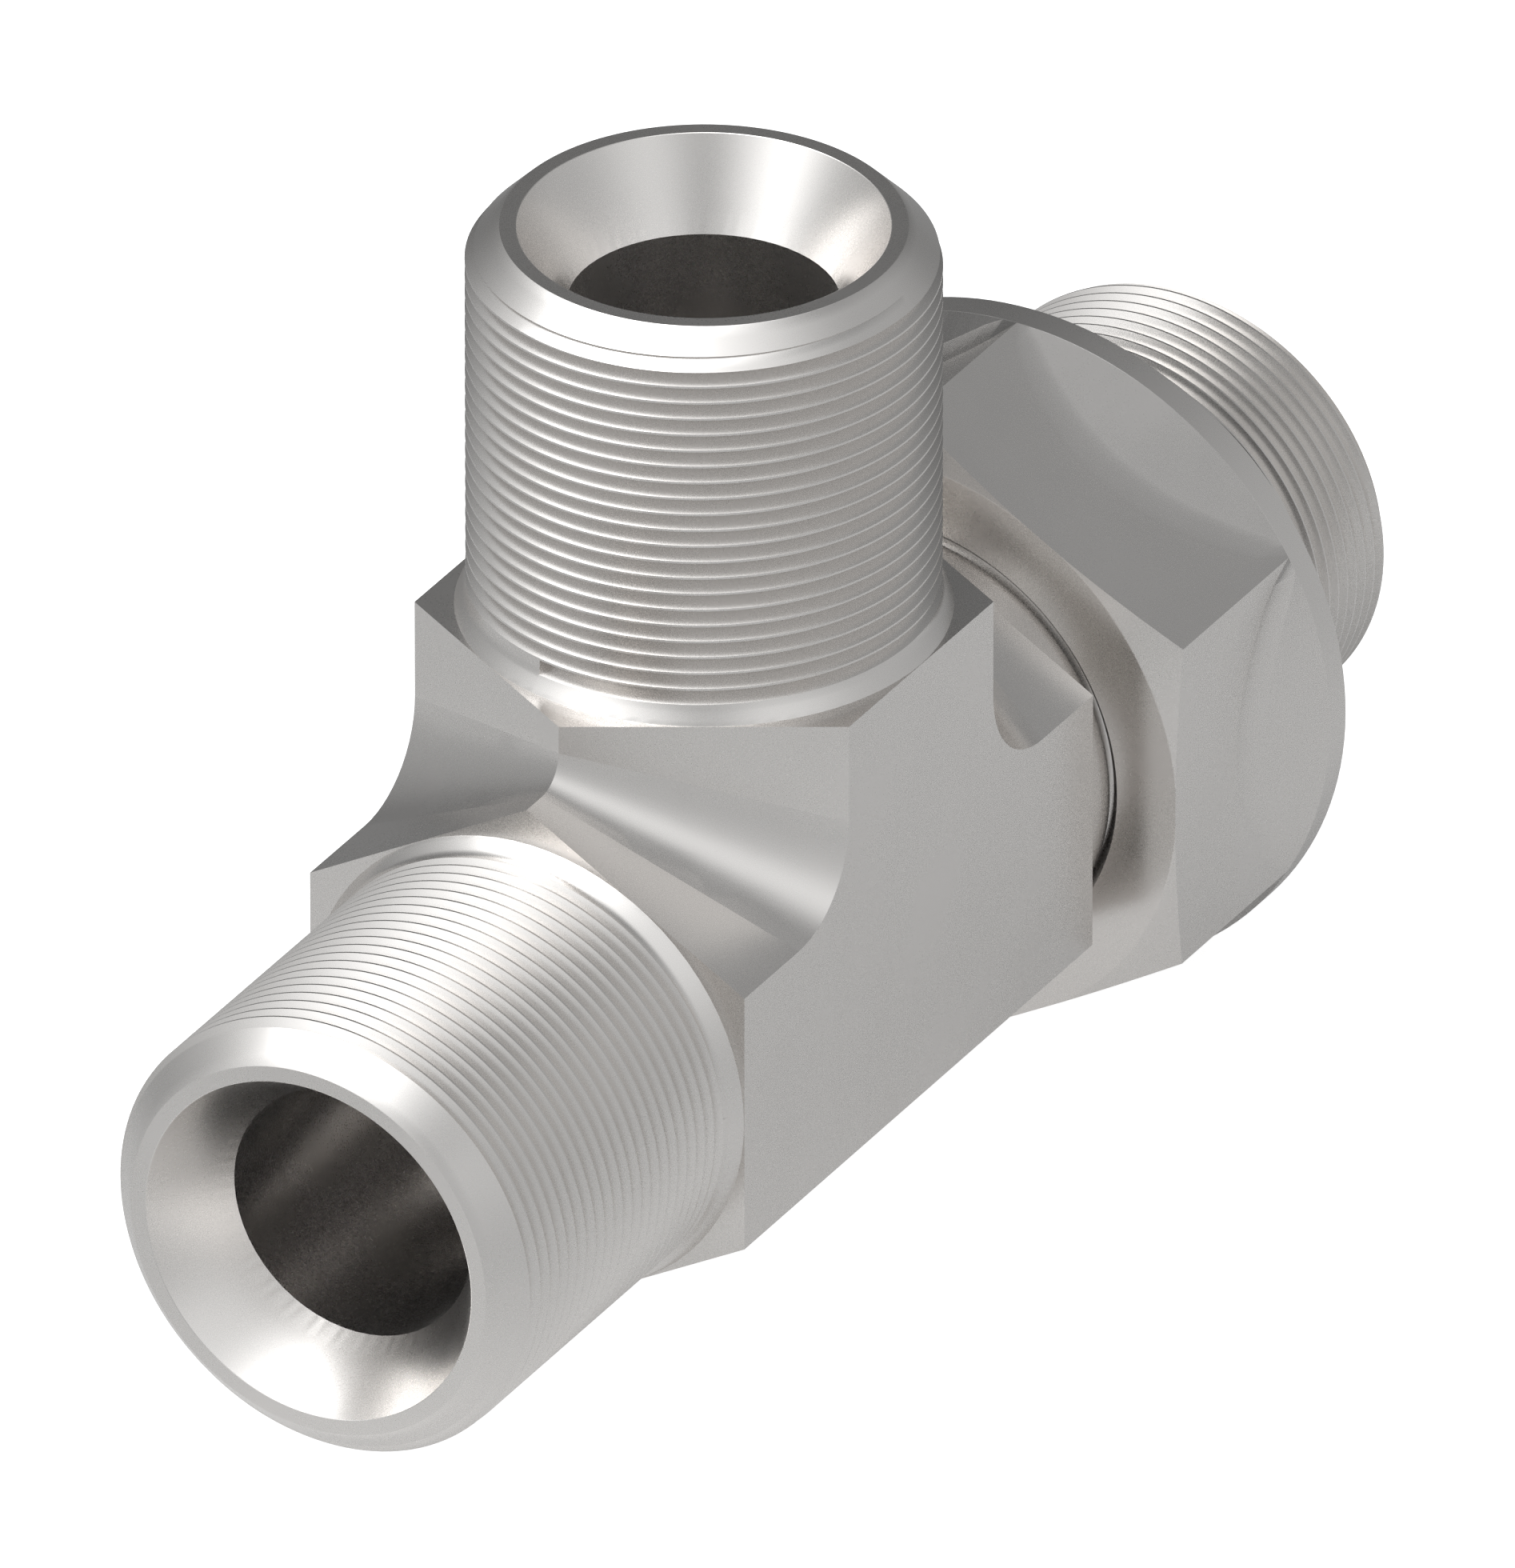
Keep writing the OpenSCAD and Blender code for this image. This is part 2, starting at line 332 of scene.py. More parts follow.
def place(basis, angle, radius, station):
    """Point at an angle round an axis, a radius from it and a station along it: radius times the
    cosine and the sine of the angle across the axis, plus the station along it."""
    turn = np.radians(angle)
    radius, station = radius + 0 * turn, station + 0 * turn
    outward = np.cos(turn)[..., None] * basis[0] + np.sin(turn)[..., None] * basis[1]
    return radius[..., None] * outward + station[..., None] * basis[2]


def turned(surface, basis, angle, profile):
    """Revolves a profile of (radius, station) rows round the axis and returns its points' grid."""
    profile = np.asarray(profile, float)
    grid = surface.add(place(basis, angle[None, :], profile[:, :1], profile[:, 1:]))
    surface.rings(grid)
    return grid


class Cut:
    """V-shaped helical cut in a cylinder of radius THREAD_R that has a 45 degree chamfer at its
    upper end, top, and may have one at its lower end, foot."""

    def __init__(self, sizes, top, foot=None):
        self.pitch = sizes.pitch / MM
        self.width = self.pitch - sizes.crest / MM
        self.slope = 1 / math.tan(sizes.flank / 2)
        self.depth = self.width / 2 * self.slope
        self.top, self.foot = top, foot

    def edges(self, root):
        """Stations of the cut's lower and upper edges. On the cylinder they are half the width
        from the root. On a chamfer they are where the flank, a line of the given slope through
        the root, meets the chamfer's line."""
        k, d, top = self.slope, self.depth, self.top
        low, high = root - self.width / 2, root + self.width / 2
        low = np.where(low > top, (k * root - top - d) / (k - 1), low)
        high = np.where(high > top, (top + d + k * root) / (k + 1), high)
        if self.foot is not None:
            foot = self.foot
            high = np.where(high < foot, (k * root - foot + d) / (k - 1), high)
            low = np.where(low < foot, (foot - d + k * root) / (k + 1), low)
        return np.minimum(low, root), np.maximum(high, root)


def thread(surface, basis, cut, body, angle, start, start_root, end_root, rest):
    """Helical cut from start_root, where the cut begins at angle start, up to end_root.

    Column angles run once round from the cut's last angle. A point's unrolled turn is its pass plus
    its share of the circle, and the cut's root rises by one pitch a turn. Each pass has four rows:
    the cut's lower edge, root and upper edge, and the middle of the land above. The last column of
    a pass joins the first column of the next. Before the cut begins, the rows lie on the uncut body
    between station rest and the pass above. Returns the lower and upper loops with their angles."""
    share = (angle - angle[0]) / 360
    first = angle[0]
    # Unrolled turns, counted from pass 0 at the first column; the cut's own start lies in pass 0
    start_share = ((start - first) % 360) / 360
    root0 = start_root - cut.pitch * start_share
    passes = int(round((end_root - root0) / cut.pitch))
    turn = np.arange(passes + 2)[:, None] + share[None, :]
    root = root0 + cut.pitch * turn
    low, high = cut.edges(root)
    low_next = np.vstack([low[1:], low[-1:] + cut.pitch])
    middle = (high + low_next) / 2
    middle = np.where((low_next > cut.top) & (high < cut.top), cut.top, middle)
    if cut.foot is not None:
        middle = np.where((low_next > cut.foot) & (high < cut.foot), cut.foot, middle)
    station = np.stack([low, root, high, middle], 1)
    floor = np.minimum(THREAD_R - cut.depth, body(root))
    radius = np.stack([body(low), floor, body(high), body(middle)], 1)
    # Columns before the start: rows on the body, squeezed between rest and the pass above
    idle = share < start_share - 1e-9
    begin = np.searchsorted(share, start_share - 1e-9)
    ceiling = low[1]
    keep = (station[0, :, begin] - rest) / (ceiling[begin] - rest)
    squeezed = rest + keep[:, None] * (ceiling - rest)[None, :]
    station[0][:, idle] = squeezed[:, idle]
    radius[0][:, idle] = body(squeezed)[:, idle]
    rows = station.shape[0] * 4
    grid = surface.add(place(basis, angle[None, :], radius.reshape(rows, -1),
                             station.reshape(rows, -1)))
    last = (passes - 1) * 4 + 2
    after = np.empty_like(grid[:last + 1])
    after[:, :-1] = grid[:last + 1, 1:]
    after[:, -1] = grid[4:last + 5, 0]
    surface.sheet(grid[:last + 1], after)
    turns = np.append(angle, np.full(4, angle[0] + 360))
    lower = np.append(grid[0], grid[4:0:-1, 0])
    upper = np.append(grid[last], grid[last + 4:last:-1, 0])
    return lower, upper, turns


def columns(first, count, start=None):
    """Column angles once round from first, with a close pair where a cut starts abruptly."""
    angle = first + np.arange(count) * 360 / count
    if start is None:
        return angle
    begin = first + (start - first) % 360
    angle = angle[np.abs(angle - begin) > PAIR_ROOM]
    return np.sort(np.append(angle, [begin - PAIR_STEP, begin]))


def flared(station):
    """Body of a male end: the neck's cone, the cylinder, and the 45 degree chamfer.

    The cone starts softly: at a depth below the cylinder it is wider by a share of NECK_WIDTH that
    goes with the root of depth squared plus NECK_SOFT squared, less NECK_SOFT."""
    below = np.clip(BLOCK_FACE + NECK_FLARE - station, 0, NECK_FLARE)
    share = np.hypot(below, NECK_SOFT) - NECK_SOFT
    flare = THREAD_R + NECK_WIDTH * share / (math.hypot(NECK_FLARE, NECK_SOFT) - NECK_SOFT)
    chamfer = THREAD_R - np.maximum(station - (END_REACH - LEAD_CHAMFER), 0)
    return np.where(below > 0, flare, np.minimum(chamfer, THREAD_R))


def shouldered(station):
    """Body of the stud: a cylinder between the 45 degree shoulder and the tip's chamfer."""
    low = THREAD_R - np.maximum(SHOULDER - station, 0)
    return np.minimum(low, THREAD_R - np.maximum(station - (STUD_REACH - TIP_CHAMFER), 0))


def ring_of(basis, points, loops, reach):
    """Points of an open edge whose station is reach, in order round the axis, with their angles."""
    where = loops[np.abs(points[loops] @ basis[2] - reach) < 2 * SAME_PLACE]
    across = points[where]
    angle = np.degrees(np.arctan2(across @ basis[1], across @ basis[0])) % 360
    order = np.argsort(angle)
    return where[order], angle[order]


def turn_to(first, loop, angle):
    """The same loop, counted from the first point at or past an angle."""
    angle = first + (angle - first) % 360
    order = np.argsort(angle)
    return loop[order], angle[order]


def forged_block(surface):
    """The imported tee's own faces without what is turned: its block and its crossing bores.
    Returns its points, their numbers in the surface, and which of them lie on an open edge."""
    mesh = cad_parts["tee_body"].data
    points = np.empty(len(mesh.vertices) * 3, np.float32)
    mesh.vertices.foreach_get("co", points)
    points = points.reshape(-1, 3).astype(float) / MM
    mesh.calc_loop_triangles()
    faces = np.empty(len(mesh.loop_triangles) * 3, np.int32)
    mesh.loop_triangles.foreach_get("vertices", faces)
    _, first, where = np.unique(np.round(points * 1e3).astype(np.int64), axis=0,
                                return_index=True, return_inverse=True)
    points, faces = points[first], where.reshape(-1)[faces].reshape(-1, 3)
    middle = points[faces].mean(1)
    drop = np.zeros(len(faces), bool)
    for basis, face in ((BRANCH, BLOCK_FACE), (FRONT, BLOCK_FACE), (STUD, BLOCK_REAR)):
        station = middle @ basis[2]
        radius = np.hypot(middle @ basis[0], middle @ basis[1])
        drop |= (station > face + SAME_PLACE) & (radius > BORE_R + SAME_PLACE)
    faces = faces[~drop]
    number = surface.add(points)
    surface.triangles(number[faces])
    ahead = np.concatenate([faces[:, [0, 1]], faces[:, [1, 2]], faces[:, [2, 0]]])
    code = ahead[:, 0] * len(points) + ahead[:, 1]
    back = ahead[:, 1] * len(points) + ahead[:, 0]
    open_points = np.unique(ahead[~np.isin(code, back)])
    return points, number, open_points


def male_end(surface, sizes, basis, start, block):
    """One male end: neck, helical cut, chamfer, lip and inner cone, joined to the block. The
    cone's station rises from the passage by the root of 3 for each millimetre of radius."""
    points, number, loops = block
    cut = Cut(sizes, END_REACH - LEAD_CHAMFER)
    start_root = BLOCK_FACE + NECK_FLARE + NECK_TO_CUT
    end_root = cut.top + cut.depth
    last = start + 360 * (end_root - start_root) / cut.pitch
    first = last % 360
    angle = columns(first, sizes.columns, start)
    foot = turned(surface, basis, angle, np.stack([flared(NECK_ROWS), NECK_ROWS], 1))
    lower, upper, turns = thread(surface, basis, cut, flared, angle, start, start_root, end_root,
                                 NECK_ROWS[-1] + 2 * EDGE)
    surface.strip(foot[-1], angle, lower, turns)
    near, far = cut.top + LEAD_RUN_OUT, END_REACH - LEAD_CHAMFER / 4
    cone = np.array([SEAT_R - EDGE / math.sqrt(3), SEAT_R - 0.7, BORE_R + 0.6, BORE_R + CORNER])
    mouth = turned(surface, basis, angle, [
        (flared(near), near),
        (flared(far), far),
        (THREAD_R - LEAD_CHAMFER + EDGE, END_REACH - EDGE),
        (THREAD_R - LEAD_CHAMFER - EDGE, END_REACH),
        (SEAT_R + EDGE, END_REACH),
        *np.stack([cone, SEAT_END + (cone - BORE_R) * math.sqrt(3)], 1),
    ])
    surface.strip(upper, turns, mouth[0], angle)
    where, degrees = turn_to(first, *ring_of(basis, points, loops, BLOCK_FACE))
    surface.strip(number[where], degrees, foot[0], angle)
    where, degrees = turn_to(first, *ring_of(basis, points, loops, SEAT_END))
    surface.strip(mouth[-1], angle, number[where], degrees)


def stud_end(surface, sizes, block):
    """The stud: boss, inner thread, undercut, outer thread, tip and the passage's mouth."""
    points, number, loops = block
    basis = STUD
    inner = Cut(sizes, UNDERCUT_FRONT - UNDERCUT_DEPTH)
    begin = BLOCK_REAR + BOSS_TO_CUT
    finish = inner.top + inner.depth
    first = (BOSS_START + 360 * (finish - begin) / inner.pitch) % 360
    angle = columns(first, sizes.columns, BOSS_START)
    boss = turned(surface, basis, angle, [(THREAD_R, station) for station in BOSS_ROWS])

    def run_out(station):
        """The inner thread's cylinder, and the 45 degree slope into the undercut."""
        return THREAD_R - np.maximum(station - inner.top, 0)

    lower, upper, turns = thread(surface, basis, inner, run_out, angle, BOSS_START, begin, finish,
                                 BOSS_ROWS[-1] + CORNER)
    surface.strip(boss[-1], angle, lower, turns)
    where, degrees = turn_to(first, *ring_of(basis, points, loops, BLOCK_REAR))
    surface.strip(number[where], degrees, boss[0], angle)

    cut = Cut(sizes, STUD_REACH - TIP_CHAMFER, SHOULDER)
    begin_root = SHOULDER - cut.depth
    end_root = cut.top + cut.depth
    last = STUD_START + 360 * (end_root - begin_root) / cut.pitch
    outer_first = last % 360
    outer = columns(outer_first, sizes.columns)
    groove_end = SHOULDER - UNDERCUT_DEPTH
    groove = turned(surface, basis, angle, [
        (THREAD_R - UNDERCUT_RUN_OUT, inner.top + UNDERCUT_RUN_OUT),
        (UNDERCUT_R + CORNER, UNDERCUT_FRONT - CORNER),
        (UNDERCUT_R, UNDERCUT_FRONT + CORNER * math.sqrt(2)),
        (UNDERCUT_R, (UNDERCUT_FRONT + groove_end) / 2),
        (UNDERCUT_R, groove_end - CORNER * math.sqrt(2)),
        (UNDERCUT_R + CORNER, groove_end + CORNER),
        (THREAD_R - UNDERCUT_RUN_OUT, SHOULDER - UNDERCUT_RUN_OUT),
    ])
    surface.strip(upper, turns, groove[0], angle)
    lower, upper, turns = thread(surface, basis, cut, shouldered, outer, STUD_START, begin_root,
                                 end_root, SHOULDER - UNDERCUT_RUN_OUT + CORNER)
    surface.strip(*turn_to(outer_first, groove[-1], angle), lower, turns)
    tip = turned(surface, basis, outer, [
        (THREAD_R - TIP_RUN_OUT, STUD_REACH - TIP_CHAMFER + TIP_RUN_OUT),
        (THREAD_R - TIP_CHAMFER - EDGE, STUD_REACH),
        (BORE_R + MOUTH_CHAMFER + EDGE, STUD_REACH),
        (BORE_R + MOUTH_CHAMFER - EDGE, STUD_REACH - EDGE),
        (BORE_R + CORNER, STUD_REACH - MOUTH_CHAMFER + CORNER),
    ])
    surface.strip(upper, turns, tip[0], outer)
    ring = ring_of(basis, points, loops, STUD_REACH - MOUTH_CHAMFER)
    where, degrees = turn_to(outer_first, *ring)
    surface.strip(tip[-1], outer, number[where], degrees)


def nut_surface(surface):
    """The lock nut as one closed profile round the axis.

    Its hexagon's radius at an angle is half the width across flats over the cosine of the angle
    from the nearest flat's middle. A cone of FLARE_ANGLE that ends on the rim would meet each flat
    at the station meets, and a hollow of radius FLARE_R blends the two: it reaches hollow, radius
    times the tangent of half the angle, to both sides. The hollow is one soft facet, and shares its
    normals with the flat and the cone."""
    flat_r = NUT_AF / 2
    rim_r = flat_r / math.cos(math.radians(30))
    angle = np.concatenate([np.linspace(-30, 30, 25)[:-1] + 60 * k for k in range(6)])
    ones = np.ones_like(angle)
    hexagon = flat_r / np.cos(np.radians((angle + 30) % 60 - 30))
    lean = math.radians(FLARE_ANGLE)
    meets = NUT_HEX - (rim_r - hexagon) / math.tan(lean)
    widest = FLARE_R * math.tan(lean / 2)
    hollow = np.minimum(widest, (NUT_HEX - meets) / math.cos(lean))
    soft = meets - hollow * (1 + SOFT_START / widest)
    corner = np.maximum(hexagon - NUT_FACE_R, 0) * math.tan(math.radians(NUT_CHAMFER))
    face = np.minimum(hexagon, NUT_FACE_R)
    mouth_r = NUT_HOLE_R + COUNTERSINK
    edge = np.minimum((hexagon - face) / 3, SHARP_EDGE)
    rows = [
        (NUT_HOLE_R * ones, COUNTERSINK * ones), (mouth_r * ones, 0 * ones),
        (0.5 * (mouth_r + face), 0 * ones), (face - SHARP_EDGE, 0 * ones), (face, 0 * ones),
        (face + edge, edge * math.tan(math.radians(NUT_CHAMFER))),
        ((face + hexagon) / 2, corner / 2), (hexagon, corner), (hexagon, (corner + soft) / 2),
        (hexagon, soft), (hexagon, meets - hollow),
        (hexagon + hollow * math.sin(lean), meets + hollow * math.cos(lean)),
        (rim_r * ones, NUT_HEX * ones), (rim_r * ones, (NUT_HEX + SHARP_EDGE) * ones),
        (rim_r * ones, (NUT_T - RIM_BREAK) * ones), ((rim_r - RIM_BREAK) * ones, NUT_T * ones),
        (0.5 * (rim_r + mouth_r) * ones, NUT_T * ones), (mouth_r * ones, NUT_T * ones),
        (NUT_HOLE_R * ones, (NUT_T - COUNTERSINK) * ones), (NUT_HOLE_R * ones, NUT_T / 2 * ones),
    ]
    radius = np.array([row[0] for row in rows])
    station = np.array([row[1] for row in rows]) + NUT_FRONT
    grid = surface.add(place(STUD, angle[None, :], radius, station))
    surface.rings(np.vstack([grid, grid[:1]]))


def soften_flare(obj):
    """Shades the nut's flare as the photograph does, as if it leant only FLARE_SHADE degrees from
    its flat: each corner's normal turns that far from the flat's own, in step with its height
    over the flat up to FLARE_FADE. The mesh itself stays."""
    mesh = obj.data
    count = len(mesh.loops)
    normals, where = np.empty(count * 3, np.float32), np.empty(count, np.int32)
    mesh.corner_normals.foreach_get("vector", normals)
    mesh.loops.foreach_get("vertex_index", where)
    points = np.empty(len(mesh.vertices) * 3, np.float32)
    mesh.vertices.foreach_get("co", points)
    normals = normals.reshape(-1, 3).astype(float)
    corner = points.reshape(-1, 3)[where].astype(float) / MM
    middle = corner.reshape(-1, 3, 3).mean(1)
    station = middle @ STUD[2] - NUT_FRONT
    radius = np.hypot(middle @ STUD[0], middle @ STUD[1])
    degrees = np.degrees(np.arctan2(middle @ STUD[1], middle @ STUD[0]))
    flat = np.radians(np.round(degrees / 60) * 60)
    across = radius * np.cos(np.radians(degrees) - flat)
    # The flats and the flare, but not the chamfer in front of them nor the rim
    raised = np.repeat((across > NUT_AF / 2 - SAME_HEIGHT) & (station < NUT_HEX), 3)
    flat_normal = np.cos(flat)[:, None] * STUD[0] + np.sin(flat)[:, None] * STUD[1]
    flat_normal = np.repeat(flat_normal, 3, axis=0)
    height = (corner * flat_normal).sum(1) - NUT_AF / 2
    lean = np.radians(FLARE_SHADE) * np.clip(height / FLARE_FADE, 0, 1)[:, None]
    normals[raised] = (np.cos(lean) * flat_normal - np.sin(lean) * STUD[2])[raised]
    mesh.normals_split_custom_set(normals.tolist())


def loop_surface(surface, profile, count):
    """A closed profile of (radius, station) carried once round the stud's axis."""
    profile = np.asarray(profile, float)
    angle = np.arange(count) * 360 / count
    grid = surface.add(place(STUD, angle[None, :], profile[:, :1], profile[:, 1:]))
    surface.rings(np.vstack([grid, grid[:1]]))


class Value:
    """A node's output, on which Python's operators add Math nodes."""

    def __init__(self, tree, socket):
        self.tree, self.socket = tree, socket

    def _math(self, operation, a, b=None):
        """Adds one Math node for values or plain numbers."""
        node = self.tree.nodes.new("ShaderNodeMath")
        node.operation = operation
        for slot, value in zip(node.inputs, (a, b)):
            if isinstance(value, Value):
                self.tree.links.new(value.socket, slot)
            elif value is not None:
                slot.default_value = value
        return Value(self.tree, node.outputs[0])

    def __add__(self, other):
        return self._math("ADD", self, other)

    def __radd__(self, other):
        return self._math("ADD", other, self)

    def __sub__(self, other):
        return self._math("SUBTRACT", self, other)

    def __rsub__(self, other):
        return self._math("SUBTRACT", other, self)

    def __mul__(self, other):
        return self._math("MULTIPLY", self, other)

    def __rmul__(self, other):
        return self._math("MULTIPLY", other, self)

    def __truediv__(self, other):
        return self._math("DIVIDE", self, other)

    def __rtruediv__(self, other):
        return self._math("DIVIDE", other, self)

    def __gt__(self, other):
        return self._math("GREATER_THAN", self, other)

    def at_least(self, other):
        return self._math("MAXIMUM", self, other)

    def sine(self):
        return self._math("SINE", self)

    def exponent(self):
        return self._math("EXPONENT", self)

    def root(self):
        return self._math("POWER", self, 0.5)

    def clamp(self):
        """The same value, kept between 0 and 1."""
        kept = self._math("ADD", self, 0.0)
        kept.socket.node.use_clamp = True
        return kept


class Shading:
    """The node tree of one material or world."""

    def __init__(self, owner):
        owner.use_nodes = True
        self.tree = owner.node_tree
        self.tree.nodes.clear()

    def node(self, kind, settings=None, **sockets):
        """Adds a node: its settings first, then the values or links of its sockets, by name or, as
        in _6, by number."""
        node = self.tree.nodes.new(kind)
        for key, value in (settings or {}).items():
            setattr(node, key, value)
        for name, value in sockets.items():
            slot = node.inputs[int(name[1:]) if name[1:].isdigit() else name.replace("_", " ")]
            if isinstance(value, Value):
                self.tree.links.new(value.socket, slot)
            else:
                slot.default_value = value
        return node

    def value(self, node, output=0):
        """One of a node's outputs, by number or name."""
        return Value(self.tree, node.outputs[output])


def noise(shading, where, scale, detail=2.0, rough=0.5):
    """Noise from 0 to 1, whose blotches are one over scale metres across."""
    node = shading.node("ShaderNodeTexNoise", Vector=where, Scale=scale, Detail=detail,
                        Roughness=rough)
    return shading.value(node, "Fac")


def plated_steel(name, colours, axes):
    """Satin plating: slightly warm metal with fine grain, faint blotches in colour and roughness,
    and turning marks along each axis of axes, a list of (basis, lowest station that is turned)."""
    material = bpy.data.materials.new(name)
    shading = Shading(material)
    where = shading.value(shading.node("ShaderNodeTexCoord"), "Object")
    split = shading.node("ShaderNodeSeparateXYZ", Vector=where)
    xyz = [shading.value(split, k) for k in range(3)]
    grain = noise(shading, where, STEEL_GRAIN)
    cloud = noise(shading, where, STEEL_CLOUD, 3.0, 0.55)
    fleck = noise(shading, where, STEEL_FLECK, 4.0, 0.6)
    marks = None
    for basis, start in axes:
        axis = int(np.argmax(np.abs(basis[2])))
        along = xyz[axis] * float(basis[2][axis])
        across = [xyz[k] * xyz[k] for k in range(3) if k != axis]
        radius = (across[0] + across[1]).root()
        wave = ((radius + along) * (2 * math.pi / (MARK_PITCH * MM)) + fleck * 9.0).sine()
        wave = wave * (along > start * MM)
        marks = wave if marks is None else marks + wave
    height = grain * 0.85 + fleck * 0.15
    if marks is not None:
        height = height + marks * MARK_HEIGHT
    bump = shading.node("ShaderNodeBump", Strength=STEEL_BUMP, Distance=colours.grain,
                        Height=height)
    dark = [c * 0.94 for c in colours.steel] + [1]
    light = [min(c * 1.05, 1) for c in colours.steel] + [1]
    base = shading.node("ShaderNodeMix", {"data_type": "RGBA"}, Factor=cloud * 0.7 + grain * 0.3,
                        _6=dark, _7=light)
    rough = colours.steel_roughness - 0.05 + (cloud * 0.06 + grain * 0.05)
    shader = shading.node("ShaderNodeBsdfPrincipled", Metallic=1.0, Roughness=rough,
                          Base_Color=shading.value(base, 2), Normal=shading.value(bump))
    shading.node("ShaderNodeOutputMaterial", Surface=shading.value(shader))
    return material


def seal_rubber(name, colours):
    """Black rubber with a dull moulded skin and a little bloom."""
    material = bpy.data.materials.new(name)
    shading = Shading(material)
    where = shading.value(shading.node("ShaderNodeTexCoord"), "Object")
    grain = noise(shading, where, RUBBER_GRAIN)
    bloom = noise(shading, where, RUBBER_BLOOM, 3.0)
    dark = list(colours.rubber) + [1]
    grey = [c + 0.02 for c in colours.rubber] + [1]
    base = shading.node("ShaderNodeMix", {"data_type": "RGBA"}, Factor=(bloom - 0.35).clamp(),
                        _6=dark, _7=grey)
    bump = shading.node("ShaderNodeBump", Strength=RUBBER_BUMP, Distance=0.01 * MM, Height=grain)
    shader = shading.node("ShaderNodeBsdfPrincipled", Roughness=0.45 + bloom * 0.2,
                          Base_Color=shading.value(base, 2), Normal=shading.value(bump))
    shading.node("ShaderNodeOutputMaterial", Surface=shading.value(shader))
    return material


def finish_piece(obj, material, body, node):
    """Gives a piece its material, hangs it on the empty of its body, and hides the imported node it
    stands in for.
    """
    obj.data.materials.append(material)
    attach(obj, body)
    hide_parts(node)


class TEE_OT_body(bpy.types.Operator):
    """Make the forging with its threads"""
    bl_idname = "tee_adapter.body"
    bl_label = "Forged body"

    def execute(self, context):
        sizes, colours = context.scene.tee_threads, context.scene.tee_finish
        surface = Surface()
        block = forged_block(surface)
        male_end(surface, sizes, BRANCH, BRANCH_START, block)
        male_end(surface, sizes, FRONT, FRONT_START, block)
        stud_end(surface, sizes, block)
        obj = surface.build("forged_body")
        axes = [(BRANCH, BLOCK_FACE), (FRONT, BLOCK_FACE), (STUD, BLOCK_REAR)]
        material = plated_steel("plated_steel", colours, axes)
        finish_piece(obj, material, "tee", "tee_body")
        return {"FINISHED"}


class TEE_OT_nut(bpy.types.Operator):
    """Make the flanged lock nut"""
    bl_idname = "tee_adapter.nut"
    bl_label = "Lock nut"

    def execute(self, context):
        surface = Surface()
        nut_surface(surface)
        obj = surface.build("flanged_nut", crease=35)
        soften_flare(obj)
        material = plated_steel("plated_nut_steel", context.scene.tee_finish, [])
        finish_piece(obj, material, "nut", "lock_nut")
        return {"FINISHED"}


class TEE_OT_ring(bpy.types.Operator):
    """Make the ring that backs the seal"""
    bl_idname = "tee_adapter.ring"
    bl_label = "Retaining ring"

    def execute(self, context):
        surface = Surface()
        web, rear = RING_FRONT + RING_WEB, RING_FRONT + RING_T
        loop_surface(surface, [
            (RING_BORE_R, web - CORNER), (RING_BORE_R, RING_FRONT + CORNER),
            (RING_BORE_R + CORNER, RING_FRONT), (RING_R - RING_CHAMFER, RING_FRONT),
            (RING_R, RING_FRONT + RING_CHAMFER), (RING_R, rear - RING_CHAMFER),
            (RING_R - RING_CHAMFER, rear), (RING_RECESS_R + CORNER, rear),
            (RING_RECESS_R, rear - CORNER), (RING_RECESS_R, web + 2 * CORNER),
            (RING_RECESS_R - 2 * CORNER, web), (RING_BORE_R + CORNER, web),
        ], context.scene.tee_threads.columns)
        obj = surface.build("backing_ring")
        material = plated_steel("plated_ring_steel", context.scene.tee_finish, [(STUD, BLOCK_REAR)])
        finish_piece(obj, material, "seal_carrier", "retaining_ring")
        return {"FINISHED"}


class TEE_OT_seal(bpy.types.Operator):
    """Make the rubber seal"""
    bl_idname = "tee_adapter.seal"
    bl_label = "Seal"

    def execute(self, context):
        surface = Surface()
        turn = np.radians(np.arange(0, 360, 10))
        radius, station = SEAL_T / 2 * np.cos(turn), SEAL_T / 2 * np.sin(turn)
        loop_surface(surface, np.stack([SEAL_R + radius, SEAL_Y + station], 1),
                     context.scene.tee_threads.columns)
        obj = surface.build("rubber_seal", crease=60)
        material = seal_rubber("seal_rubber", context.scene.tee_finish)
        finish_piece(obj, material, "seal_carrier", "o_ring")
        return {"FINISHED"}


def heading(azimuth, elevation):
    """Direction at an azimuth from +Y towards +X and an elevation, both in degrees."""
    a, e = math.radians(azimuth), math.radians(elevation)
    return math.sin(a) * math.cos(e), math.cos(a) * math.cos(e), math.sin(e)


